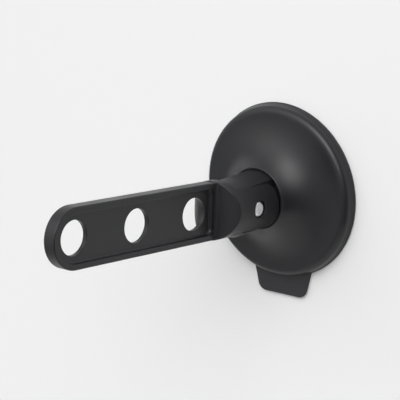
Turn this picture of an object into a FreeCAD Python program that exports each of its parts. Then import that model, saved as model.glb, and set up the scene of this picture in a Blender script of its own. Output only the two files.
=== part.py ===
import FreeCAD, Part
import math
import os

# Suction cup hook: a soft disc under a rigid cover, a post through the cover's neck, and a flat arm
# with three holes that turns on a steel pin across the post.
# Millimetres. The wall is the plane Y = 0 and the hook stands out from it along -Y, with +Z up and
# +X to the right. The origin is the centre of the disc on the wall. Depth means distance from the wall.

# Rigid cover
COVER_R = 42.5
COVER_RIDGE = 7.0
COVER_DRAFT = 0.55
COVER_SHOULDER_R = 3.7
COVER_WALL = 2.2
NECK_DEPTH = 20.4
NECK_LIP_W = 1.3
NECK_LIP_DROP = 0.6
SLEEVE_WALL = 2.0
SLEEVE_GAP = 0.6
RIB_COUNT = 8
RIB_T = 1.6
RIB_GAP = 0.5

# Soft disc, which shows as a thin rim round the cover
DISC_SHOW = 0.3
DISC_RIM_T = 1.1
DISC_SKIRT_IN = 4.5
DISC_CENTRE_T = 3.2
DISC_BOSS_R = 12.0
DISC_BOSS_T = 7.6
CAVITY_IN = 8.5
CAVITY_DEPTH = 1.8

# Pull tab of the disc
TAB_LENGTH = 9.9
TAB_TOP_W = 32.4
TAB_END_W = 27.2
TAB_CORNER_R = 3.6
TAB_LIFT = 0.7
TAB_BEND_R = 12.0
TAB_ROOT = 6.0

# Arm plate, measured outwards from the pivot
ARM_T = 6.2
ARM_H = 26.8
TIP_HOLE = 109.5
HOLE_PITCH = 38.2
HOLE_COUNT = 3
HOLE_R = 7.55
HOLE_EDGE_R = 0.3
RIM_W = 2.6
WEB_T = 2.4
PLATE_EDGE_R = 0.6
POCKET_ROOT = 21.6
POCKET_CORNER_R = 3.0
POCKET_FLOOR_R = 1.3
REST_TILT = 5.9

# Hub of the arm: its front and the end of its slot are round about the pivot's upright line
HUB_FRONT_R = 20.2
HUB_EDGE_R = 0.4
ROOT_FILLET = 1.2
SLOT_W = 18.2
SLOT_END_R = 15.8
EAR_CORNER_R = 3.6
MOUTH_R = 4.15
MOUTH_DEPTH = 1.8

# Pivot pin
PIN_R = 3.5
PIN_RECESS = 1.0
PIN_EDGE_R = 0.8

# Post
POST_FLANGE_R = 9.0
POST_FLANGE_T = 2.0
POST_FLANGE_DEPTH = 3.6
POST_STEM_R = 6.0
POST_CORE_WALL = 2.2
POST_CORE_CEILING = 3.0
POST_STEP_BELOW_LIP = 2.7

# Clearances
FOLD_GAP = 0.55
NECK_GAP = 0.3
SLOT_GAP = 0.25
STOP_GAP = 0.3
BOSS_GAP = 0.6
PIN_RUN = 0.05

# The hub's circle passes through the plate's corners, and the ears end flat just clear of the neck
HUB_R = math.hypot(ARM_H / 2, ARM_T / 2)
PIVOT_DEPTH = NECK_DEPTH + FOLD_GAP + HUB_R
EAR_HALF = math.sqrt(HUB_R ** 2 - (SLOT_W / 2) ** 2)
POST_R = HUB_R
POST_FLAT = SLOT_W / 2 - SLOT_GAP
POST_NOSE_R = SLOT_END_R - STOP_GAP
POST_STEP = NECK_DEPTH - POST_STEP_BELOW_LIP
POST_GUIDE_DEPTH = DISC_BOSS_T + BOSS_GAP
NECK_BORE_R = POST_R + NECK_GAP
PIN_HALF = HUB_R - PIN_RECESS
DISC_R = COVER_R + DISC_SHOW
DISC_SKIRT_R = COVER_R - DISC_SKIRT_IN
CAVITY_R = COVER_R - CAVITY_IN
TAB_REACH = DISC_R + TAB_LENGTH
FAR = 200.0

# Along each axis, the share of its radius that the middle of a quarter round reaches
DIAGONAL = math.sqrt(0.5)

X_AXIS = FreeCAD.Vector(1, 0, 0)
Y_AXIS = FreeCAD.Vector(0, 1, 0)
Z_AXIS = FreeCAD.Vector(0, 0, 1)
WALL_CENTRE = FreeCAD.Vector(0, 0, 0)
PIVOT = FreeCAD.Vector(0, -PIVOT_DEPTH, 0)


def radial(r, depth):
    """A point of a turned profile, r from the cover's axis."""
    return FreeCAD.Vector(r, -depth, 0)


def line(a, b):
    return Part.LineSegment(a, b).toShape()


def arc(a, middle, b):
    return Part.Arc(a, middle, b).toShape()


def turned(edges, axis=Y_AXIS):
    """The solid that a closed profile makes when it is turned about an axis through the origin."""
    face = Part.Face(Part.Wire(edges))
    return face.revolve(WALL_CENTRE, axis, 360)


def across(edges, half_width):
    """A closed side-view outline carried across, from -half_width to +half_width in X."""
    face = Part.Face(Part.Wire(edges))
    face.translate(FreeCAD.Vector(-half_width, 0, 0))
    return face.extrude(FreeCAD.Vector(2 * half_width, 0, 0))


def side(u, w):
    """A side-view point of the arm: u outwards from the pivot, w up."""
    return FreeCAD.Vector(0, -u, w)


def block(x0, x1, y0, y1, z0, z1):
    return Part.makeBox(x1 - x0, y1 - y0, z1 - z0, FreeCAD.Vector(x0, y0, z0))


def cross_bar(r, half_length, centre=WALL_CENTRE):
    """A round bar along X."""
    start = centre - X_AXIS * half_length
    return Part.makeCylinder(r, 2 * half_length, start, X_AXIS)


def out_bar(r, start, length):
    """A round bar about the line through a point, outwards along -Y."""
    return Part.makeCylinder(r, length, start, -Y_AXIS)


def upright_bar(r):
    """An endless round bar about the pivot's upright line, in the arm's own frame."""
    return Part.makeCylinder(r, 2 * FAR, -Z_AXIS * FAR, Z_AXIS)


def edges_where(shape, test):
    return [edge for edge in shape.Edges if test(edge.BoundBox)]


def at_rest(shape):
    """Carry a shape from the arm's own frame to the arm's rest pose."""
    return shape.rotated(WALL_CENTRE, X_AXIS, -REST_TILT).translated(PIVOT)


def disc_front(r):
    """Depth of the disc's front face at radius r, between the boss and the flat skirt."""
    share = (DISC_SKIRT_R - r) / (DISC_SKIRT_R - DISC_BOSS_R)
    return DISC_RIM_T + (DISC_CENTRE_T - DISC_RIM_T) * share


def suction_disc():
    cavity_r = (CAVITY_R ** 2 + CAVITY_DEPTH ** 2) / (2 * CAVITY_DEPTH)
    half_r = CAVITY_R / 2
    half_depth = CAVITY_DEPTH - cavity_r + math.sqrt(cavity_r ** 2 - half_r ** 2)
    points = [
        radial(CAVITY_R, 0),
        radial(DISC_R, 0),
        radial(DISC_R, DISC_RIM_T),
        radial(DISC_SKIRT_R, DISC_RIM_T),
        radial(DISC_BOSS_R, disc_front(DISC_BOSS_R)),
        radial(DISC_BOSS_R, DISC_BOSS_T),
        radial(POST_STEM_R, DISC_BOSS_T),
        radial(POST_STEM_R, POST_FLANGE_DEPTH + POST_FLANGE_T),
        radial(POST_FLANGE_R, POST_FLANGE_DEPTH + POST_FLANGE_T),
        radial(POST_FLANGE_R, POST_FLANGE_DEPTH),
        radial(0, POST_FLANGE_DEPTH),
        radial(0, CAVITY_DEPTH),
    ]
    edges = [line(a, b) for a, b in zip(points, points[1:])]
    edges.append(arc(points[-1], radial(half_r, half_depth), points[0]))
    return turned(edges).fuse(pull_tab()).removeSplitter()


def pull_tab():
    """The tab leaves the disc's rim flat on the wall and bends away from it towards its end."""
    turn = math.acos(1 - TAB_LIFT / TAB_BEND_R)
    root = -DISC_R + TAB_ROOT
    bend = -TAB_REACH + TAB_BEND_R * math.sin(turn)
    inner_r = TAB_BEND_R - DISC_RIM_T

    def bent(radius, angle):
        depth = TAB_BEND_R - radius * math.cos(angle)
        return FreeCAD.Vector(0, -depth, bend - radius * math.sin(angle))

    flat_wall = FreeCAD.Vector(0, 0, root)
    flat_front = FreeCAD.Vector(0, -DISC_RIM_T, root)
    strip = across([
        line(flat_wall, bent(TAB_BEND_R, 0)),
        arc(bent(TAB_BEND_R, 0), bent(TAB_BEND_R, turn / 2), bent(TAB_BEND_R, turn)),
        line(bent(TAB_BEND_R, turn), bent(inner_r, turn)),
        arc(bent(inner_r, turn), bent(inner_r, turn / 2), bent(inner_r, 0)),
        line(bent(inner_r, 0), flat_front),
        line(flat_front, flat_wall),
    ], TAB_TOP_W)
    slope = (TAB_TOP_W - TAB_END_W) / 2 / TAB_LENGTH
    root_half = TAB_TOP_W / 2 + slope * TAB_ROOT
    end_half = TAB_END_W / 2
    corners = [
        FreeCAD.Vector(-root_half, 0, root),
        FreeCAD.Vector(root_half, 0, root),
        FreeCAD.Vector(end_half, 0, -TAB_REACH),
        FreeCAD.Vector(-end_half, 0, -TAB_REACH),
    ]
    plan = Part.Face(Part.makePolygon(corners + corners[:1]))
    plan.translate(Y_AXIS * DISC_RIM_T)
    prism = plan.extrude(-Y_AXIS * (TAB_LIFT + 3 * DISC_RIM_T))
    rounded = edges_where(prism, lambda b: b.YLength > DISC_RIM_T and b.ZMax < root - TAB_ROOT)
    prism = prism.makeFillet(TAB_CORNER_R, rounded)
    inner = out_bar(DISC_SKIRT_R, Y_AXIS * FAR / 2, FAR)
    return strip.common(prism).cut(inner)


def ridge_r():
    return COVER_R - COVER_DRAFT - COVER_SHOULDER_R


def flare_arc_r():
    """Radius of the cover's hollow flare, level at the ridge and meeting the neck's lip."""
    run = ridge_r() - (NECK_BORE_R + NECK_LIP_W)
    rise = NECK_DEPTH - NECK_LIP_DROP - COVER_RIDGE
    return (run ** 2 + rise ** 2) / (2 * rise)


def flare_point(r, offset):
    """A point on the flare at radius r from the axis, offset into the wall of the cover."""
    radius = flare_arc_r() + offset
    drop = math.sqrt(radius ** 2 - (ridge_r() - r) ** 2)
    return radial(r, COVER_RIDGE + flare_arc_r() - drop)


def dome_cover():
    edge = DISC_RIM_T
    side_top = COVER_RIDGE - COVER_SHOULDER_R
    shoulder_mid = COVER_SHOULDER_R * DIAGONAL
    inner_top_r = COVER_R - COVER_DRAFT - COVER_WALL
    inner_mid = (COVER_SHOULDER_R - COVER_WALL) * DIAGONAL
    sleeve_r = NECK_BORE_R + SLEEVE_WALL
    sleeve_end = DISC_BOSS_T + SLEEVE_GAP
    lip_r = NECK_BORE_R + NECK_LIP_W
    flare_mid_r = (ridge_r() + lip_r) / 2
    inner_mid_r = (ridge_r() + sleeve_r) / 2
    outer_edge = radial(COVER_R, edge)
    outer_side = radial(COVER_R - COVER_DRAFT, side_top)
    outer_shoulder = radial(ridge_r() + shoulder_mid, side_top + shoulder_mid)
    ridge = radial(ridge_r(), COVER_RIDGE)
    lip_out = flare_point(lip_r, 0)
    lip_top = radial(NECK_BORE_R + NECK_LIP_W / 2, NECK_DEPTH)
    lip_in = radial(NECK_BORE_R, NECK_DEPTH - NECK_LIP_DROP)
    bore_end = radial(NECK_BORE_R, sleeve_end)
    sleeve_edge = radial(sleeve_r, sleeve_end)
    sleeve_root = flare_point(sleeve_r, COVER_WALL)
    ceiling = radial(ridge_r(), COVER_RIDGE - COVER_WALL)
    inner_shoulder = radial(ridge_r() + inner_mid, side_top + inner_mid)
    inner_side = radial(inner_top_r, side_top)
    inner_edge = radial(COVER_R - COVER_WALL, edge)
    shell = turned([
        line(outer_edge, outer_side),
        arc(outer_side, outer_shoulder, ridge),
        arc(ridge, flare_point(flare_mid_r, 0), lip_out),
        arc(lip_out, lip_top, lip_in),
        line(lip_in, bore_end),
        line(bore_end, sleeve_edge),
        line(sleeve_edge, sleeve_root),
        arc(sleeve_root, flare_point(inner_mid_r, COVER_WALL), ceiling),
        arc(ceiling, inner_shoulder, inner_side),
        line(inner_side, inner_edge),
        line(inner_edge, outer_edge),
    ])
    for rib in cover_ribs(sleeve_r, sleeve_end):
        shell = shell.fuse(rib)
    return shell.removeSplitter()


def cover_ribs(sleeve_r, sleeve_end):
    """Radial ribs from the sleeve to the side wall, a little clear of the disc's front face."""
    inside_r = sleeve_r - SLEEVE_WALL / 2
    outside_r = COVER_R - COVER_WALL
    over_disc = disc_front(inside_r) + RIB_GAP
    top = flare_point(sleeve_r, COVER_WALL / 2)
    corners = [
        radial(inside_r, max(sleeve_end, over_disc)),
        radial(outside_r, DISC_RIM_T + RIB_GAP),
        radial(outside_r, COVER_RIDGE - COVER_SHOULDER_R),
        radial(ridge_r(), COVER_RIDGE - COVER_WALL / 2),
        flare_point((ridge_r() + sleeve_r) / 2, COVER_WALL / 2),
        top,
        FreeCAD.Vector(inside_r, top.y, 0),
    ]
    face = Part.Face(Part.makePolygon(corners + corners[:1]))
    face.translate(Z_AXIS * (-RIB_T / 2))
    rib = face.extrude(Z_AXIS * RIB_T)
    pitch = 360 / RIB_COUNT
    return [rib.rotated(WALL_CENTRE, Y_AXIS, index * pitch + pitch / 2) for index in range(RIB_COUNT)]


def post_nose():
    """What the slot's end wall leaves free, in the arm's own frame: upright above the arm's line, and
    round about the pivot below it, so that the arm can fold down."""
    top = 2 * POST_R
    low_mid = POST_NOSE_R * DIAGONAL
    return turned([
        line(FreeCAD.Vector(0, 0, top), FreeCAD.Vector(POST_NOSE_R, 0, top)),
        line(FreeCAD.Vector(POST_NOSE_R, 0, top), FreeCAD.Vector(POST_NOSE_R, 0, 0)),
        arc(FreeCAD.Vector(POST_NOSE_R, 0, 0), FreeCAD.Vector(low_mid, 0, -low_mid),
            FreeCAD.Vector(0, 0, -POST_NOSE_R)),
        line(FreeCAD.Vector(0, 0, -POST_NOSE_R), FreeCAD.Vector(0, 0, top)),
    ], Z_AXIS)


def post_head():
    """The flat-sided head between the ears, as round as the arm's hub."""
    stock = out_bar(POST_R, radial(0, POST_STEP), PIVOT_DEPTH + 2 * POST_R - POST_STEP)
    slab = block(-POST_FLAT, POST_FLAT, -FAR, 0, -FAR, FAR)
    behind = block(-FAR, FAR, -PIVOT_DEPTH, 0, -FAR, FAR)
    return stock.common(slab).common(at_rest(post_nose()).fuse(behind))


def post():
    core_top = POST_STEP - POST_CORE_CEILING
    core_in = POST_STEM_R + POST_CORE_WALL / 2
    core_out = POST_R - POST_CORE_WALL
    points = [
        radial(0, POST_FLANGE_DEPTH),
        radial(POST_FLANGE_R, POST_FLANGE_DEPTH),
        radial(POST_FLANGE_R, POST_FLANGE_DEPTH + POST_FLANGE_T),
        radial(POST_STEM_R, POST_FLANGE_DEPTH + POST_FLANGE_T),
        radial(POST_STEM_R, POST_GUIDE_DEPTH),
        radial(core_in, POST_GUIDE_DEPTH),
        radial(core_in, core_top),
        radial(core_out, core_top),
        radial(core_out, POST_GUIDE_DEPTH),
        radial(POST_R, POST_GUIDE_DEPTH),
        radial(POST_R, POST_STEP),
        radial(0, POST_STEP),
    ]
    edges = [line(a, b) for a, b in zip(points, points[1:] + points[:1])]
    solid = turned(edges).fuse(post_head()).removeSplitter()
    return solid.cut(cross_bar(PIN_R, FAR, PIVOT))


def arm_outline(root, half):
    """A side-view outline from a straight root to a round end about the outermost hole."""
    return [
        line(side(root, -half), side(TIP_HOLE, -half)),
        arc(side(TIP_HOLE, -half), side(TIP_HOLE + half, 0), side(TIP_HOLE, half)),
        line(side(TIP_HOLE, half), side(root, half)),
        line(side(root, half), side(root, -half)),
    ]


def arm_plate():
    """The flat plate with its rounded tip, softly rounded along both faces."""
    root = (SLOT_END_R + HUB_FRONT_R) / 2
    plate = across(arm_outline(root, ARM_H / 2), ARM_T / 2)
    faces = edges_where(plate, lambda b: b.XLength < ARM_T / 2 and b.YLength > ARM_H / 4)
    return plate.makeFillet(PLATE_EDGE_R, faces)


def pocket(sign):
    """The hollow of one face: it follows the plate's outline, a rim's width inside it."""
    tool = across(arm_outline(POCKET_ROOT, ARM_H / 2 - RIM_W), ARM_T / 2)
    tool.translate(X_AXIS * ((WEB_T + ARM_T) / 2))
    root = edges_where(tool, lambda b: b.XLength > WEB_T and b.YMin > -POCKET_ROOT - RIM_W)
    tool = tool.makeFillet(POCKET_CORNER_R, root)
    floor = edges_where(tool, lambda b: b.XMax < WEB_T / 2 + PLATE_EDGE_R)
    tool = tool.makeFillet(POCKET_FLOOR_R, floor)
    return tool if sign > 0 else tool.mirror(WALL_CENTRE, X_AXIS)


def hanger_hole(index):
    """A hole through the web with its two edges rounded, as the solid to cut away."""
    u = TIP_HOLE - index * HOLE_PITCH
    half = WEB_T / 2
    lip = HOLE_R + HOLE_EDGE_R
    inset = HOLE_EDGE_R * (1 - DIAGONAL)
    bend = HOLE_R + inset

    def at(x, r):
        return FreeCAD.Vector(x, -u - r, 0)

    face = Part.Face(Part.Wire([
        line(at(-half, 0), at(-half, lip)),
        arc(at(-half, lip), at(-half + inset, bend), at(-half + HOLE_EDGE_R, HOLE_R)),
        line(at(-half + HOLE_EDGE_R, HOLE_R), at(half - HOLE_EDGE_R, HOLE_R)),
        arc(at(half - HOLE_EDGE_R, HOLE_R), at(half - inset, bend), at(half, lip)),
        line(at(half, lip), at(half, 0)),
        line(at(half, 0), at(-half, 0)),
    ]))
    return face.revolve(side(u, 0), X_AXIS, 360)


def root_flare():
    """The fillet between the plate's faces and the hub's round front, inside the hub's circle."""
    half = ARM_T / 2
    centre_x = half + ROOT_FILLET
    centre_u = math.sqrt((HUB_FRONT_R + ROOT_FILLET) ** 2 - centre_x ** 2)
    shrink = HUB_FRONT_R / (HUB_FRONT_R + ROOT_FILLET)
    middle = math.pi + math.atan2(centre_u, centre_x) / 2
    bend_x = centre_x + ROOT_FILLET * math.cos(middle)
    bend_u = centre_u + ROOT_FILLET * math.sin(middle)
    touch_x = centre_x * shrink
    touch_u = centre_u * shrink
    root_u = (SLOT_END_R + HUB_FRONT_R) / 2

    def plan(x, u):
        return FreeCAD.Vector(x, -u, -ARM_H)

    prism = Part.Face(Part.Wire([
        line(plan(-half, centre_u), plan(half, centre_u)),
        arc(plan(half, centre_u), plan(bend_x, bend_u), plan(touch_x, touch_u)),
        line(plan(touch_x, touch_u), plan(touch_x, root_u)),
        line(plan(touch_x, root_u), plan(-touch_x, root_u)),
        line(plan(-touch_x, root_u), plan(-touch_x, touch_u)),
        arc(plan(-touch_x, touch_u), plan(-bend_x, bend_u), plan(-half, centre_u)),
    ])).extrude(Z_AXIS * 2 * ARM_H)
    return prism.common(out_bar(HUB_R, WALL_CENTRE, FAR))


def hub():
    """The round bar behind the plate. The ears' ends are parallel to the wall at rest, with rounded
    corners."""
    bar = out_bar(HUB_R, Y_AXIS * 2 * HUB_R, 4 * HUB_R).common(upright_bar(HUB_FRONT_R))
    front = edges_where(bar, lambda b: b.YMax < 0)
    bar = bar.makeFillet(HUB_EDGE_R, front)
    tilt = math.radians(REST_TILT)

    def ear_end(w):
        return side((w * math.sin(tilt) - HUB_R) / math.cos(tilt), w)

    ears = across([
        line(side(0, EAR_HALF), ear_end(EAR_HALF)),
        line(ear_end(EAR_HALF), ear_end(-EAR_HALF)),
        line(ear_end(-EAR_HALF), side(0, -EAR_HALF)),
        line(side(0, -EAR_HALF), side(0, EAR_HALF)),
    ], FAR)
    corners = edges_where(ears, lambda b: b.XLength > FAR and b.YMin > EAR_CORNER_R)
    ears = ears.makeFillet(EAR_CORNER_R, corners)
    return bar.common(ears.fuse(block(-FAR, FAR, -FAR, 0, -FAR, FAR)))


def fork_slot():
    """The room for the post between the ears."""
    behind = block(-FAR, FAR, 0, FAR, -FAR, FAR)
    width = block(-SLOT_W / 2, SLOT_W / 2, -FAR, FAR, -FAR, FAR)
    return upright_bar(SLOT_END_R).fuse(behind).common(width)


def lever_arm():
    solid = arm_plate().cut(pocket(1)).cut(pocket(-1))
    for index in range(HOLE_COUNT):
        solid = solid.cut(hanger_hole(index))
    solid = solid.fuse(hub()).fuse(root_flare()).cut(fork_slot())
    solid = solid.cut(cross_bar(PIN_R + PIN_RUN, FAR))
    for sign in (-1, 1):
        mouth_floor = X_AXIS * sign * (HUB_R - MOUTH_DEPTH)
        solid = solid.cut(Part.makeCylinder(MOUTH_R, FAR, mouth_floor, X_AXIS * sign))
    return at_rest(solid.removeSplitter())


def pivot_pin():
    pin = cross_bar(PIN_R, PIN_HALF, PIVOT)
    ends = edges_where(pin, lambda b: b.XLength < PIN_EDGE_R)
    return pin.makeFillet(PIN_EDGE_R, ends)


PARTS = {
    "suction_disc": suction_disc,
    "dome_cover": dome_cover,
    "post": post,
    "pivot_pin": pivot_pin,
    "lever_arm": lever_arm,
}

os.makedirs("parts", exist_ok=True)
for name, make in PARTS.items():
    shape = make()
    if len(shape.Solids) == 1:
        shape = shape.Solids[0]
    shape.exportStep(os.path.join("parts", name + ".step"))
    print(name, len(shape.Solids), "solid", shape.isValid(), round(shape.Volume, 1), "mm3")
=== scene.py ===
import math

import bpy
import numpy as np
from bpy.props import FloatProperty, FloatVectorProperty, IntProperty, PointerProperty
from mathutils import Matrix, Vector


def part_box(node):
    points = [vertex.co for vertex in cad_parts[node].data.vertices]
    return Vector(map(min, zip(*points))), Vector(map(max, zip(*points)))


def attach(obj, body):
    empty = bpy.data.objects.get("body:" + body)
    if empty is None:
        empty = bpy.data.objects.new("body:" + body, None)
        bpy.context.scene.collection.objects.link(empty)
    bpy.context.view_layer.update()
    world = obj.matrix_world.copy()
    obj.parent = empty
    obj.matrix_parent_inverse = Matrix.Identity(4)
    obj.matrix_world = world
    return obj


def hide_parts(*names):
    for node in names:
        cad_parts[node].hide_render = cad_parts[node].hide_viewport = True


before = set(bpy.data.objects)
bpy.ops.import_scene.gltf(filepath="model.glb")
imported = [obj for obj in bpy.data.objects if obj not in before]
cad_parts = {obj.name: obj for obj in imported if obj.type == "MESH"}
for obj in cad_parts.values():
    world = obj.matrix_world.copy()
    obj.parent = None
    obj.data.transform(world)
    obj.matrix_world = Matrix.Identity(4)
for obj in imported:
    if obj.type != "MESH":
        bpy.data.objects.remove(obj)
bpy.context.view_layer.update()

bl_info = {
    "name": "Suction Cup Hook",
    "version": (1, 0, 0),
    "blender": (4, 5, 0),
    "location": "3D View > Sidebar > Hook",
    "description": "Finishes and soft parts of a wall hook with a suction disc and a folding arm",
    "category": "Add Mesh",
}

MM = 0.001
DISC_LOW, DISC_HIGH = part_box("suction_disc")
COVER_LOW, COVER_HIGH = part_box("dome_cover")
PIN_LOW, PIN_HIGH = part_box("pivot_pin")
POST_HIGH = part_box("post")[1]

# Edges of the new pieces: the disc's rounding, the points along each rounded edge, the share of a
# straight run that one rounded edge may take, and the angle between faces that shows as crisp
DISC_EDGE = 0.35 * MM
DISC_EDGE_POINTS = 6
LIP_EDGE_POINTS = 5
RUN_SHARE = 0.45
SHARP_ANGLE = math.radians(40)

# The disc's surface: points along the cavity's arc, and extra columns round each end of the tab's
# root, from an angle inside the tab to one outside it, in degrees
CAVITY_POINTS = 24
ROOT_COLUMNS = 60
ROOT_INSIDE = -9.0
ROOT_OUTSIDE = 1.5

# The tab's edge is searched from this share of the disc's radius to this share of the tab's reach,
# by halving the interval so many times
SEARCH_FROM = 0.9
SEARCH_TO = 1.2
SEARCH_HALVINGS = 40

# Gloss and grain of the mouldings: roughness of the smooth and of the rough patches, the grain's
# noise scale and the specular level. The other values are the same for both
SATIN_SKIN = {"smooth": 0.34, "rough": 0.44, "grain_scale": 2400.0, "specular": 0.42}
SOFT_SKIN = {"smooth": 0.46, "rough": 0.58, "grain_scale": 1600.0, "specular": 0.45}
GRAIN_DEPTH = 0.05 * MM
GRAIN_STRENGTH = 0.35
DRIFT_SCALE = 45.0
DRIFT_RANGE = (0.32, 0.68)
GLOSS_RANGE = (0.35, 0.65)

# Turned steel: the rings' wave and bump, the roughness from their valleys to their crests, and the
# noise that smears the colour
RING_SCALE = 900.0
RING_DISTORTION = 1.5
RING_DETAIL = 2.0
RING_DEPTH = 0.02 * MM
RING_STRENGTH = 0.3
STEEL_ROUGHNESS = (0.34, 0.50)
SMEAR_SCALE = 700.0
SMEAR_RANGE = (0.3, 0.7)

# The room's light, as (direction, strength, sharpness) lobes of the world, and the key lamp
SKY_LEVEL = 0.871
ROOM_LOBES = (
    ((0.0, -1.0, 0.0), 0.33, 2.0),
    ((-0.70, -0.70, 0.0), 0.58, 4.0),
    ((0.15, -0.49, 0.86), 0.50, 8.0),
    ((-0.50, -0.55, 0.67), 1.60, 8.0),
    ((0.20, -0.65, 0.75), 4.20, 20.0),
    ((0.60, -0.65, 0.46), 2.80, 40.0),
    ((0.44, -0.68, 0.59), 3.00, 60.0),
    ((0.0, 1.0, 0.0), 0.90, 1.0),
)
KEY_PLACE = (1.38, -2.09, 1.65)
KEY_TARGET = (0.0, -0.05, 0.0)
KEY_SIZE = 1.9
KEY_POWER = 15.0

# The camera's fixed values, and the wall and floor
SENSOR_WIDTH = 36.0
CLIP_START = 0.01
CLIP_END = 20.0
STAGE_REACH = 1.6
WALL_GAP = 0.2 * MM


# Sizes and colours that a user may change

class HookDiscSizes(bpy.types.PropertyGroup):
    radius: FloatProperty(
        name="Disc radius", description="From the disc's centre to its rim",
        default=DISC_HIGH.x, unit="LENGTH")
    boss_depth: FloatProperty(
        name="Boss depth", description="How far the middle boss stands out from the wall",
        default=-DISC_LOW.y, unit="LENGTH")
    tab_reach: FloatProperty(
        name="Tab reach", description="From the disc's centre down to the pull tab's end",
        default=-DISC_LOW.z, unit="LENGTH")
    rim_thickness: FloatProperty(
        name="Rim thickness",
        description="Thickness of the tab and of the disc under the cover's edge",
        default=-COVER_HIGH.y, unit="LENGTH")
    skirt_radius: FloatProperty(
        name="Skirt radius",
        description="Inner edge of the flat rim, where the disc starts to thicken",
        default=COVER_HIGH.x - 4.5 * MM, unit="LENGTH")
    centre_thickness: FloatProperty(
        name="Centre thickness", description="Thickness of the disc beside its boss",
        default=3.2 * MM, unit="LENGTH")
    boss_radius: FloatProperty(
        name="Boss radius", description="Radius of the middle boss that holds the post",
        default=12.0 * MM, unit="LENGTH")
    socket_radius: FloatProperty(
        name="Socket radius", description="Radius of the boss's opening for the post's stem",
        default=6.0 * MM, unit="LENGTH")
    flange_radius: FloatProperty(
        name="Flange radius",
        description="Radius of the wider pocket that holds the post's flange",
        default=9.0 * MM, unit="LENGTH")
    flange_back: FloatProperty(
        name="Pocket back", description="How far the pocket's floor lies in front of the wall",
        default=3.6 * MM, unit="LENGTH")
    flange_thickness: FloatProperty(
        name="Pocket width", description="Width of the pocket along the disc's axis",
        default=2.0 * MM, unit="LENGTH")
    cavity_radius: FloatProperty(
        name="Cavity radius", description="Edge of the hollow on the wall side",
        default=COVER_HIGH.x - 8.5 * MM, unit="LENGTH")
    cavity_depth: FloatProperty(
        name="Cavity depth", description="Depth of that hollow at the centre",
        default=1.8 * MM, unit="LENGTH")
    tab_top_width: FloatProperty(
        name="Tab width at the rim",
        description="Width of the pull tab where it leaves the disc",
        default=32.4 * MM, unit="LENGTH")
    tab_end_width: FloatProperty(
        name="Tab width at the end", description="Width of the pull tab at its lower edge",
        default=27.2 * MM, unit="LENGTH")
    tab_corner: FloatProperty(
        name="Tab corner radius", description="Rounding of the tab's two lower corners",
        default=3.6 * MM, unit="LENGTH")
    tab_lift: FloatProperty(
        name="Tab lift", description="How far the tab's end stands off the wall",
        default=0.7 * MM, unit="LENGTH")


class HookLipSizes(bpy.types.PropertyGroup):
    bore: FloatProperty(
        name="Lip bore", description="Radius of the neck's opening at its crisp edge",
        default=POST_HIGH.x + 0.12 * MM, unit="LENGTH")
    height: FloatProperty(
        name="Lip height", description="How far the bore's crisp edge stands out from the wall",
        default=-COVER_LOW.y - 0.30 * MM, unit="LENGTH")
    top_radius: FloatProperty(
        name="Lip outer edge",
        description="Outer radius of the lip's flat top, inside the cover's round lip",
        default=POST_HIGH.x + 1.0 * MM, unit="LENGTH")
    foot_radius: FloatProperty(
        name="Lip foot", description="Largest radius of the lip, inside the cover",
        default=POST_HIGH.x + 1.3 * MM, unit="LENGTH")
    foot_drop: FloatProperty(
        name="Lip foot drop", description="How far that foot lies behind the lip's top",
        default=0.6 * MM, unit="LENGTH")
    depth: FloatProperty(
        name="Lip depth", description="How far the lip reaches back into the neck",
        default=2.2 * MM, unit="LENGTH")
    edge_radius: FloatProperty(
        name="Lip edge rounding", description="Rounding of the lip's edges",
        default=0.12 * MM, unit="LENGTH")


class HookFinish(bpy.types.PropertyGroup):
    moulding_tint: FloatVectorProperty(
        name="Moulding", description="Colour of the hard mouldings",
        default=(0.0100, 0.0100, 0.0119), subtype="COLOR", min=0.0, max=1.0)
    moulding_bloom: FloatVectorProperty(
        name="Moulding bloom", description="Slightly lighter patches in the hard mouldings",
        default=(0.0124, 0.0124, 0.0147), subtype="COLOR", min=0.0, max=1.0)
    disc_tint: FloatVectorProperty(
        name="Soft disc", description="Colour of the soft disc and tab",
        default=(0.0172, 0.0172, 0.0198), subtype="COLOR", min=0.0, max=1.0)
    disc_bloom: FloatVectorProperty(
        name="Soft disc bloom", description="Slightly lighter patches in the soft disc",
        default=(0.0225, 0.0225, 0.0252), subtype="COLOR", min=0.0, max=1.0)
    steel_tint: FloatVectorProperty(
        name="Steel", description="Colour of the pivot pin",
        default=(0.96, 0.96, 0.95), subtype="COLOR", min=0.0, max=1.0)
    steel_shade: FloatVectorProperty(
        name="Steel shade", description="Slightly darker patches on the pivot pin",
        default=(0.82, 0.82, 0.82), subtype="COLOR", min=0.0, max=1.0)
    wall_tint: FloatVectorProperty(
        name="Backdrop", description="Colour of the wall and floor",
        default=(0.86, 0.86, 0.86), subtype="COLOR", min=0.0, max=1.0)


class HookStudio(bpy.types.PropertyGroup):
    azimuth: FloatProperty(
        name="Camera azimuth",
        description="Turn of the camera round the hook, from straight in front",
        default=math.radians(40.26), subtype="ANGLE")
    elevation: FloatProperty(
        name="Camera elevation", description="Height of the camera above the horizon",
        default=math.radians(15.14), subtype="ANGLE")
    roll: FloatProperty(
        name="Camera roll", description="Lean of the camera about its line of sight",
        default=math.radians(-1.77), subtype="ANGLE")
    distance: FloatProperty(
        name="Camera distance", description="From the origin to the camera's plane",
        default=0.722, unit="LENGTH")
    slide_right: FloatProperty(
        name="Slide right",
        description="How far the hook's origin lies to the right of the line of sight",
        default=39.7 * MM, unit="LENGTH")
    slide_up: FloatProperty(
        name="Slide up",
        description="How far the hook's origin lies above the line of sight",
        default=5.18 * MM, unit="LENGTH")
    lens: FloatProperty(
        name="Lens", description="Focal length on a sensor 36 mm wide",
        default=134.55, min=1.0)
    floor_drop: FloatProperty(
        name="Floor drop", description="How far the floor lies below the hook's centre",
        default=1.4, unit="LENGTH")


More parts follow.
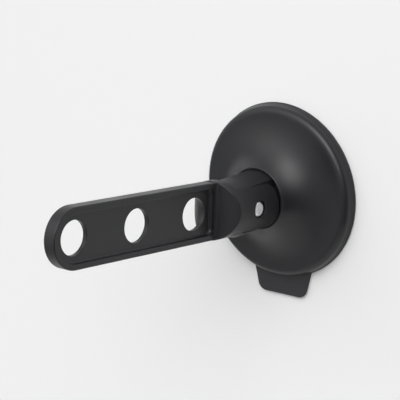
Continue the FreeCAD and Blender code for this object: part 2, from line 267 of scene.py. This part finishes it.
class HookSettings(bpy.types.PropertyGroup):
    disc: PointerProperty(
        name="Disc", description="Sizes of the soft disc and its tab", type=HookDiscSizes)
    lip: PointerProperty(
        name="Lip", description="Sizes of the neck's crisp edge", type=HookLipSizes)
    finish: PointerProperty(
        name="Finish", description="Colours of the pieces and the backdrop", type=HookFinish)
    studio: PointerProperty(
        name="Studio", description="Camera and floor", type=HookStudio)
    turns: IntProperty(
        name="Facets round", description="Columns of a surface turned about the hook's axis",
        default=240, min=24)


# Surfaces on a grid

def grid_faces(rows, columns):
    """Quads between neighbouring rows of a grid whose columns close round on themselves."""
    row = np.arange(rows - 1)[:, None] * columns
    here = np.arange(columns)[None, :]
    after = (here + 1) % columns
    corners = [row + here, row + after, row + columns + after, row + columns + here]
    return np.stack(corners, axis=-1).reshape(-1, 4)


def cap_faces(pole, ring_start, columns, flip):
    """Triangles from one pole vertex to a closed ring of vertices."""
    here = np.arange(columns)
    after = (here + 1) % columns
    first, second = (after, here) if flip else (here, after)
    poles = np.full(columns, pole)
    return np.stack([poles, ring_start + first, ring_start + second], axis=1)


def enclosed(points, faces):
    """Six times the volume inside the faces, positive where they point outwards.

    Each face is a fan of triangles, and each triangle adds its first corner dot the cross product
    of the other two.
    """
    total = 0.0
    for face in faces:
        for k in range(1, face.shape[1] - 1):
            a, b, c = points[face[:, 0]], points[face[:, k]], points[face[:, k + 1]]
            total += float(np.einsum("ij,ij->i", a, np.cross(b, c)).sum())
    return total


def solid_piece(name, points, faces):
    """An object at the origin from points and lists of faces, turned so that they face outwards."""
    if enclosed(points, faces) < 0:
        faces = [face[:, ::-1] for face in faces]
    mesh = bpy.data.meshes.new(name)
    mesh.from_pydata(points.tolist(), [], [row for face in faces for row in face.tolist()])
    mesh.polygons.foreach_set("use_smooth", np.ones(len(mesh.polygons), bool))
    mesh.set_sharp_from_angle(angle=SHARP_ANGLE)
    mesh.update()
    piece = bpy.data.objects.new(name, mesh)
    bpy.context.scene.collection.objects.link(piece)
    return piece


def closed_surface(name, grid):
    """A closed piece from a grid of points: rows run from pole to pole, columns close round.

    The first and last rows lie on the axis, so each becomes one vertex with a fan of triangles.
    """
    rows, columns = grid.shape[:2]
    body = grid[1:-1].reshape(-1, 3)
    points = np.concatenate([body, grid[0, :1], grid[-1, :1]])
    quads = grid_faces(rows - 2, columns)
    first = cap_faces(len(body), 0, columns, True)
    last = cap_faces(len(body) + 1, (rows - 3) * columns, columns, False)
    return solid_piece(name, points, [quads, first, last])


def turned_ring(name, loop, columns):
    """A closed ring: a closed loop of (radius, depth) points turned about the disc's axis.

    At each angle a point lies at radius times the angle's sine to the right, at its depth in front
    of the wall, and at radius times the angle's cosine below the centre.
    """
    angle = np.linspace(0, 2 * math.pi, columns, endpoint=False)
    r, depth = loop[:, :1], loop[:, 1:]
    grid = np.broadcast_arrays(r * np.sin(angle), -depth, -r * np.cos(angle))
    points = np.stack(grid, axis=-1).reshape(-1, 3)
    quads = grid_faces(len(loop) + 1, columns) % len(points)
    return solid_piece(name, points, [quads])


def rounded_chain(corners, radius, steps):
    """A profile of straight runs whose inner corners are arcs tangent to both runs.

    Each corner is cut back along both runs by radius times the tangent of half the turn, but never
    by more than a share of the shorter run. The arc between is worked out from its centre on the
    corner's bisector.
    """
    corners = np.asarray(corners, float)
    out = [corners[:1]]
    for before, here, after in zip(corners, corners[1:], corners[2:]):
        behind, beyond = np.linalg.norm(before - here), np.linalg.norm(after - here)
        back, ahead = (before - here) / behind, (after - here) / beyond
        half = math.acos(float(np.clip(back @ ahead, -1, 1))) / 2
        cut = min(radius / math.tan(half), min(behind, beyond) * RUN_SHARE)
        bend = cut * math.tan(half)
        middle = (back + ahead) / np.linalg.norm(back + ahead)
        centre = here + middle * bend / math.sin(half)
        share = np.linspace(0, 1, steps)[:, None]
        chord = here + back * cut * (1 - share) + ahead * cut * share
        spoke = chord - centre
        out.append(centre + spoke / np.linalg.norm(spoke, axis=1)[:, None] * bend)
    out.append(corners[-1:])
    return np.concatenate(out)


# Soft disc with its pull tab

def tab_rim(angle, sizes):
    """Radius of the disc's outline in each direction, the tab included.

    Outside the tab it is the disc's radius. Inside, it is where a ray from the centre leaves a
    trapezoid with rounded lower corners, found by halving an interval for all rays at once. A point
    is inside while its distance from the trapezoid, drawn smaller by the corners' radius, is less
    than that radius.
    """
    ray = np.stack([np.sin(angle), -np.cos(angle)], axis=1)
    drop = sizes.tab_reach - sizes.radius
    slope = (sizes.tab_top_width - sizes.tab_end_width) / 2 / drop
    lean = math.hypot(1, slope)
    low = np.full(len(angle), sizes.radius * SEARCH_FROM)
    high = np.full(len(angle), sizes.tab_reach * SEARCH_TO)
    for _ in range(SEARCH_HALVINGS):
        middle = (low + high) / 2
        across, down = np.abs(ray[:, 0]) * middle, -ray[:, 1] * middle
        half = sizes.tab_top_width / 2 - slope * (down - sizes.radius)
        side = (across - half) / lean + sizes.tab_corner
        end = down - sizes.tab_reach + sizes.tab_corner
        past = np.hypot(np.maximum(side, 0), np.maximum(end, 0))
        inside = past + np.minimum(np.maximum(side, end), 0) < sizes.tab_corner
        low, high = np.where(inside, middle, low), np.where(inside, high, middle)
    return np.where(ray[:, 1] < 0, np.maximum(low, sizes.radius), sizes.radius)


def disc_profile(sizes):
    """The disc's half section as (radius, depth) points, from the cavity's centre to the pocket's.

    The cavity is a shallow circular arc, the rim and the skirt are straight runs with small tangent
    arcs, and the boss has a stepped pocket for the post's stem and flange.
    """
    swell = (sizes.cavity_radius ** 2 + sizes.cavity_depth ** 2) / (2 * sizes.cavity_depth)
    r = np.linspace(0, sizes.cavity_radius, CAVITY_POINTS)
    cavity = np.stack([r, sizes.cavity_depth - swell + np.sqrt(swell ** 2 - r ** 2)], axis=1)
    rim = rounded_chain([
        (sizes.cavity_radius, 0),
        (sizes.radius, 0),
        (sizes.radius, sizes.rim_thickness),
        (sizes.skirt_radius, sizes.rim_thickness),
        (sizes.boss_radius, sizes.centre_thickness),
        (sizes.boss_radius, sizes.boss_depth),
        (sizes.socket_radius, sizes.boss_depth),
    ], DISC_EDGE, DISC_EDGE_POINTS)
    flange_front = sizes.flange_back + sizes.flange_thickness
    pocket = np.array([
        (sizes.socket_radius, flange_front),
        (sizes.flange_radius, flange_front),
        (sizes.flange_radius, sizes.flange_back),
        (0, sizes.flange_back),
    ])
    return np.concatenate([cavity[:-1], rim, pocket])


def soft_disc(sizes, columns):
    """The turned disc, stretched out into the tab.

    Columns run round the axis. Every point beyond the skirt's radius moves outwards in step with
    the outline in its own direction, and where it lies on the tab it is lifted off the wall along a
    quadratic curve.
    """
    profile = disc_profile(sizes)
    even = np.linspace(0, 2 * math.pi, columns, endpoint=False) - math.pi
    edge = math.asin(sizes.tab_top_width / 2 / sizes.radius)
    fine = np.radians(np.linspace(ROOT_INSIDE, ROOT_OUTSIDE, ROOT_COLUMNS))
    angle = np.unique(np.round(np.concatenate([even, edge + fine, -edge - fine]), 6))
    skirt = sizes.skirt_radius
    stretch = (tab_rim(angle, sizes) - skirt) / (sizes.radius - skirt)
    r, depth = profile[:, :1], profile[:, 1:]
    reach = np.where(r > skirt, skirt + (r - skirt) * stretch[None, :], r)
    beyond = np.clip((reach - sizes.radius) / (sizes.tab_reach - sizes.radius), 0, None)
    depth = depth + sizes.tab_lift * beyond ** 2
    grid = np.stack([reach * np.sin(angle), -depth, -reach * np.cos(angle)], axis=-1)
    return closed_surface("soft_disc", grid)


# Neck's edge

def lip_loop(sizes):
    """The lip's closed section as (radius, depth) points.

    It has a flat top, a wall down the bore and an outside within the cover, which widens to the
    foot and then narrows again. Its corners are small tangent arcs.
    """
    back = sizes.height - sizes.depth
    middle = (sizes.bore + sizes.top_radius) / 2
    chain = rounded_chain([
        (middle, back),
        (sizes.bore, back),
        (sizes.bore, sizes.height),
        (sizes.top_radius, sizes.height),
        (sizes.foot_radius, sizes.height - sizes.foot_drop),
        (sizes.top_radius, back),
        (middle, back),
    ], sizes.edge_radius, LIP_EDGE_POINTS)
    return chain[:-1]


# Nodes

def feed(tree, value, socket):
    """Links a socket to another one, or gives it a plain number or colour."""
    if isinstance(value, bpy.types.NodeSocket):
        tree.links.new(value, socket)
    else:
        socket.default_value = value


def maths(tree, operation, first, second):
    """A Math node on two numbers or sockets."""
    made = tree.nodes.new("ShaderNodeMath")
    made.operation = operation
    feed(tree, first, made.inputs[0])
    feed(tree, second, made.inputs[1])
    return made.outputs["Value"]


def noise(tree, vector, scale, detail, roughness=0.5):
    """A noise texture on a vector. A higher scale gives a finer pattern."""
    made = tree.nodes.new("ShaderNodeTexNoise")
    made.inputs["Detail"].default_value = detail
    made.inputs["Roughness"].default_value = roughness
    feed(tree, vector, made.inputs["Vector"])
    feed(tree, scale, made.inputs["Scale"])
    return made.outputs["Fac"]


def spread(tree, value, low, high, to_low, to_high):
    """A smooth Map Range from low..high of a value to to_low..to_high."""
    made = tree.nodes.new("ShaderNodeMapRange")
    made.interpolation_type = "SMOOTHSTEP"
    feed(tree, value, made.inputs["Value"])
    feed(tree, low, made.inputs["From Min"])
    feed(tree, high, made.inputs["From Max"])
    feed(tree, to_low, made.inputs["To Min"])
    feed(tree, to_high, made.inputs["To Max"])
    return made.outputs["Result"]


def blend_colours(tree, factor, a, b):
    """Colour a where the factor is 0 and colour b where it is 1."""
    made = tree.nodes.new("ShaderNodeMix")
    made.data_type = "RGBA"
    feed(tree, factor, made.inputs["Factor"])
    feed(tree, a, made.inputs["A"])
    feed(tree, b, made.inputs["B"])
    return made.outputs["Result"]


def raised(tree, height, depth, strength):
    """A Bump node's normal from a height of 0 to 1 that stands for a depth in metres."""
    made = tree.nodes.new("ShaderNodeBump")
    made.inputs["Strength"].default_value = strength
    made.inputs["Distance"].default_value = depth
    feed(tree, height, made.inputs["Height"])
    return made.outputs["Normal"]


def choose_shader(tree, factor, first, second, sink):
    """Gives an output the first shader where the factor is 0 and the second where it is 1."""
    made = tree.nodes.new("ShaderNodeMixShader")
    feed(tree, factor, made.inputs["Fac"])
    feed(tree, first.outputs[0], made.inputs[1])
    feed(tree, second.outputs[0], made.inputs[2])
    feed(tree, made.outputs["Shader"], sink.inputs["Surface"])


# Finishes

def moulded_skin():
    """The node group for the skin of a moulded part, made on its first use.

    A fine spark-eroded grain gives the height, a broader drift of the same kind gives patches of
    colour, and the mean of both varies the roughness.
    """
    if "moulded_skin" in bpy.data.node_groups:
        return bpy.data.node_groups["moulded_skin"]
    group = bpy.data.node_groups.new("moulded_skin", "ShaderNodeTree")
    for direction, kind, labels in (
            ("INPUT", "NodeSocketColor", ("Tint", "Bloom")),
            ("INPUT", "NodeSocketFloat", ("Grain Scale", "Drift Scale", "Smooth", "Rough")),
            ("OUTPUT", "NodeSocketColor", ("Color",)),
            ("OUTPUT", "NodeSocketFloat", ("Roughness", "Height"))):
        for label in labels:
            group.interface.new_socket(label, in_out=direction, socket_type=kind)
    given = group.nodes.new("NodeGroupInput").outputs
    result = group.nodes.new("NodeGroupOutput").inputs
    place = group.nodes.new("ShaderNodeTexCoord").outputs["Object"]
    grain = noise(group, place, given["Grain Scale"], detail=3.0, roughness=0.6)
    drift = noise(group, place, given["Drift Scale"], detail=4.0)
    patches = spread(group, drift, *DRIFT_RANGE, 0.0, 1.0)
    mean = maths(group, "MULTIPLY", maths(group, "ADD", grain, drift), 0.5)
    rough = spread(group, mean, *GLOSS_RANGE, given["Smooth"], given["Rough"])
    feed(group, blend_colours(group, patches, given["Tint"], given["Bloom"]), result["Color"])
    feed(group, rough, result["Roughness"])
    feed(group, grain, result["Height"])
    return group


def shaded_material(name):
    """A new material, its Principled shader and its node tree."""
    material = bpy.data.materials.new(name)
    material.use_nodes = True
    return material, material.node_tree.nodes["Principled BSDF"], material.node_tree


def moulding(name, tint, bloom, smooth, rough, grain_scale, specular):
    """A moulded plastic: the shared skin's colour and roughness, with its grain as a bump."""
    material, shader, tree = shaded_material(name)
    skin = tree.nodes.new("ShaderNodeGroup")
    skin.node_tree = moulded_skin()
    skin.inputs["Tint"].default_value = (*tint, 1)
    skin.inputs["Bloom"].default_value = (*bloom, 1)
    skin.inputs["Grain Scale"].default_value = grain_scale
    skin.inputs["Drift Scale"].default_value = DRIFT_SCALE
    skin.inputs["Smooth"].default_value = smooth
    skin.inputs["Rough"].default_value = rough
    normal = raised(tree, skin.outputs["Height"], GRAIN_DEPTH, GRAIN_STRENGTH)
    feed(tree, normal, shader.inputs["Normal"])
    feed(tree, skin.outputs["Color"], shader.inputs["Base Color"])
    feed(tree, skin.outputs["Roughness"], shader.inputs["Roughness"])
    shader.inputs["Specular IOR Level"].default_value = specular
    return material


def satin_moulding(finish):
    """The material of the hard mouldings, made on its first use."""
    made = bpy.data.materials.get("satin_moulding")
    return made or moulding(
        "satin_moulding", finish.moulding_tint, finish.moulding_bloom, **SATIN_SKIN)


def turned_steel(tint, shade, axis_height):
    """Steel turned on a lathe: fine rings about the pin's axis vary its gloss and height, and a
    smear of noise varies its colour."""
    material, shader, tree = shaded_material("turned_steel")
    place = tree.nodes.new("ShaderNodeTexCoord").outputs["Object"]
    centred = tree.nodes.new("ShaderNodeMapping")
    centred.inputs["Location"].default_value = (0, -axis_height, 0)
    feed(tree, place, centred.inputs["Vector"])
    rings = tree.nodes.new("ShaderNodeTexWave")
    rings.wave_type = "RINGS"
    rings.rings_direction = "X"
    rings.inputs["Scale"].default_value = RING_SCALE
    rings.inputs["Distortion"].default_value = RING_DISTORTION
    rings.inputs["Detail"].default_value = RING_DETAIL
    feed(tree, centred.outputs["Vector"], rings.inputs["Vector"])
    smear = spread(tree, noise(tree, place, SMEAR_SCALE, detail=3.0), *SMEAR_RANGE, 0.0, 1.0)
    colour = blend_colours(tree, smear, (*shade, 1), (*tint, 1))
    rough = spread(tree, rings.outputs["Fac"], 0.0, 1.0, *STEEL_ROUGHNESS)
    normal = raised(tree, rings.outputs["Fac"], RING_DEPTH, RING_STRENGTH)
    feed(tree, normal, shader.inputs["Normal"])
    feed(tree, colour, shader.inputs["Base Color"])
    feed(tree, rough, shader.inputs["Roughness"])
    shader.inputs["Metallic"].default_value = 1.0
    return material


def backdrop_material(tint):
    """Pale paper that only the camera, mirrors and glass see, and only from its front."""
    material, shader, tree = shaded_material("backdrop_paper")
    shader.inputs["Base Color"].default_value = (*tint, 1)
    shader.inputs["Roughness"].default_value = 1.0
    shader.inputs["Specular IOR Level"].default_value = 0.0
    rays = tree.nodes.new("ShaderNodeLightPath").outputs
    seen = maths(tree, "MAXIMUM", rays["Is Camera Ray"], rays["Is Glossy Ray"])
    seen = maths(tree, "MAXIMUM", seen, rays["Is Transmission Ray"])
    behind = tree.nodes.new("ShaderNodeNewGeometry").outputs["Backfacing"]
    front = maths(tree, "GREATER_THAN", seen, behind)
    clear = tree.nodes.new("ShaderNodeBsdfTransparent")
    choose_shader(tree, front, clear, shader, tree.nodes["Material Output"])
    return material


def dress(piece, material):
    """Gives every material slot of a piece one material."""
    if not piece.data.materials:
        piece.data.materials.append(material)
    for index in range(len(piece.data.materials)):
        piece.data.materials[index] = material


# Studio

def camera_axes(studio):
    """Right, up and back of the camera, turned by azimuth and elevation and leaned by the roll."""
    a, e, r = studio.azimuth, studio.elevation, studio.roll
    back = Vector((math.sin(a) * math.cos(e), -math.cos(a) * math.cos(e), math.sin(e)))
    level = Vector((math.cos(a), math.sin(a), 0))
    upright = back.cross(level)
    right = level * math.cos(r) + upright * math.sin(r)
    up = upright * math.cos(r) - level * math.sin(r)
    return right, up, back


def add_camera(studio):
    """The scene's camera, which looks past the origin by the two slides."""
    right, up, back = camera_axes(studio)
    place = back * studio.distance - right * studio.slide_right - up * studio.slide_up
    data = bpy.data.cameras.new("camera")
    data.lens = studio.lens
    data.sensor_width = SENSOR_WIDTH
    data.clip_start, data.clip_end = CLIP_START, CLIP_END
    camera = bpy.data.objects.new("camera", data)
    turn = Matrix((right, up, back)).transposed().to_4x4()
    camera.matrix_world = Matrix.Translation(place) @ turn
    bpy.context.scene.collection.objects.link(camera)
    bpy.context.scene.camera = camera


def add_softbox(name, place, target, size, power):
    """A square area lamp that faces a target."""
    data = bpy.data.lights.new(name, "AREA")
    data.shape = "SQUARE"
    data.size = size
    data.energy = power
    lamp = bpy.data.objects.new(name, data)
    aim = Vector(target) - Vector(place)
    turn = aim.to_track_quat("-Z", "Y").to_matrix().to_4x4()
    lamp.matrix_world = Matrix.Translation(place) @ turn
    bpy.context.scene.collection.objects.link(lamp)


def add_plane(name, corners, material):
    """A flat backdrop with its corners in the order that makes it face the hook."""
    mesh = bpy.data.meshes.new(name)
    mesh.from_pydata(corners, [], [(0, 1, 2, 3)])
    piece = bpy.data.objects.new(name, mesh)
    bpy.context.scene.collection.objects.link(piece)
    piece.data.materials.append(material)


def light_world(shown, lobes):
    """A plain pale world. The camera sees one flat level, and soft lobes light the hook.

    A lobe's light from a direction is its strength times the cosine to its own direction, never
    below zero, to the power of its sharpness. Lobes are (direction, strength, sharpness).
    """
    world = bpy.data.worlds.new("studio_world")
    bpy.context.scene.world = world
    world.use_nodes = True
    tree = world.node_tree
    tree.nodes.clear()
    heading = tree.nodes.new("ShaderNodeTexCoord").outputs["Generated"]
    total = 0.0
    for direction, strength, sharpness in lobes:
        aim = tree.nodes.new("ShaderNodeVectorMath")
        aim.operation = "DOT_PRODUCT"
        feed(tree, heading, aim.inputs[0])
        feed(tree, Vector(direction).normalized(), aim.inputs[1])
        facing = maths(tree, "MAXIMUM", aim.outputs["Value"], 0.0)
        lobe = maths(tree, "MULTIPLY", maths(tree, "POWER", facing, sharpness), strength)
        total = maths(tree, "ADD", lobe, total)
    room = tree.nodes.new("ShaderNodeBackground")
    room.inputs["Color"].default_value = (1, 1, 1, 1)
    feed(tree, total, room.inputs["Strength"])
    sky = tree.nodes.new("ShaderNodeBackground")
    sky.inputs["Color"].default_value = (shown, shown, shown, 1)
    seen = tree.nodes.new("ShaderNodeLightPath").outputs["Is Camera Ray"]
    choose_shader(tree, seen, room, sky, tree.nodes.new("ShaderNodeOutputWorld"))


# Operators

class HOOK_OT_suction_disc(bpy.types.Operator):
    """Build the soft suction disc with its pull tab"""

    bl_idname = "hook.suction_disc"
    bl_label = "Suction disc"

    def execute(self, context):
        settings = context.scene.hook
        tint, bloom = settings.finish.disc_tint, settings.finish.disc_bloom
        piece = soft_disc(settings.disc, settings.turns)
        dress(piece, moulding("soft_moulding", tint, bloom, **SOFT_SKIN))
        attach(piece, "base")
        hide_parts("suction_disc")
        return {"FINISHED"}


class HOOK_OT_mouldings(bpy.types.Operator):
    """Finish the cover, the post and the arm as satin mouldings"""

    bl_idname = "hook.mouldings"
    bl_label = "Cover, post and arm"

    def execute(self, context):
        satin = satin_moulding(context.scene.hook.finish)
        for node in ("dome_cover", "post", "lever_arm"):
            dress(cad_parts[node], satin)
        return {"FINISHED"}


class HOOK_OT_neck_lip(bpy.types.Operator):
    """Build the crisp edge of the cover's neck"""

    bl_idname = "hook.neck_lip"
    bl_label = "Neck's edge"

    def execute(self, context):
        settings = context.scene.hook
        piece = turned_ring("neck_lip", lip_loop(settings.lip), settings.turns)
        dress(piece, satin_moulding(settings.finish))
        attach(piece, "base")
        return {"FINISHED"}


class HOOK_OT_pivot_pin(bpy.types.Operator):
    """Finish the pivot pin as turned steel"""

    bl_idname = "hook.pivot_pin"
    bl_label = "Pivot pin"

    def execute(self, context):
        finish = context.scene.hook.finish
        axis = (PIN_LOW.y + PIN_HIGH.y) / 2
        steel = turned_steel(finish.steel_tint, finish.steel_shade, axis)
        dress(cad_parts["pivot_pin"], steel)
        return {"FINISHED"}


class HOOK_OT_studio(bpy.types.Operator):
    """Set the camera, the lamp, the world, the wall and the floor"""

    bl_idname = "hook.studio"
    bl_label = "Studio"

    def execute(self, context):
        scene = context.scene
        scene.view_settings.view_transform = "Standard"
        studio = scene.hook.studio
        paper = backdrop_material(scene.hook.finish.wall_tint)
        far, behind, floor = STAGE_REACH, WALL_GAP, -studio.floor_drop
        left, right = (-far, behind, floor), (far, behind, floor)
        add_plane("wall", [left, right, (far, behind, far), (-far, behind, far)], paper)
        add_plane("floor", [(-far, -far, floor), (far, -far, floor), right, left], paper)
        add_camera(studio)
        add_softbox("key_softbox", KEY_PLACE, KEY_TARGET, KEY_SIZE, KEY_POWER)
        light_world(SKY_LEVEL, ROOM_LOBES)
        return {"FINISHED"}


OPERATORS = (
    HOOK_OT_suction_disc,
    HOOK_OT_mouldings,
    HOOK_OT_neck_lip,
    HOOK_OT_pivot_pin,
    HOOK_OT_studio,
)


class HOOK_PT_panel(bpy.types.Panel):
    """Sidebar panel with the hook's operators and settings"""

    bl_label = "Suction Cup Hook"
    bl_idname = "HOOK_PT_panel"
    bl_space_type = "VIEW_3D"
    bl_region_type = "UI"
    bl_category = "Hook"

    def draw(self, context):
        layout = self.layout
        settings = context.scene.hook
        for operator in OPERATORS:
            layout.operator(operator.bl_idname)
        layout.prop(settings, "turns")
        for group in (settings.disc, settings.lip, settings.finish, settings.studio):
            box = layout.box()
            for name in group.__annotations__:
                box.prop(group, name)


CLASSES = (
    HookDiscSizes,
    HookLipSizes,
    HookFinish,
    HookStudio,
    HookSettings,
    *OPERATORS,
    HOOK_PT_panel,
)


def register():
    for cls in CLASSES:
        bpy.utils.register_class(cls)
    bpy.types.Scene.hook = PointerProperty(
        name="Hook", description="Sizes, colours and camera of the hook", type=HookSettings)


def unregister():
    del bpy.types.Scene.hook
    for cls in reversed(CLASSES):
        bpy.utils.unregister_class(cls)


def corners(box):
    """A box's lowest and highest corners as plain lists."""
    return [list(corner) for corner in box]


def main():
    """Registers the add-on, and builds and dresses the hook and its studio."""
    register()
    bpy.ops.hook.suction_disc()
    bpy.ops.hook.mouldings()
    bpy.ops.hook.neck_lip()
    bpy.ops.hook.pivot_pin()
    bpy.ops.hook.studio()


if __name__ == "__main__":
    main()
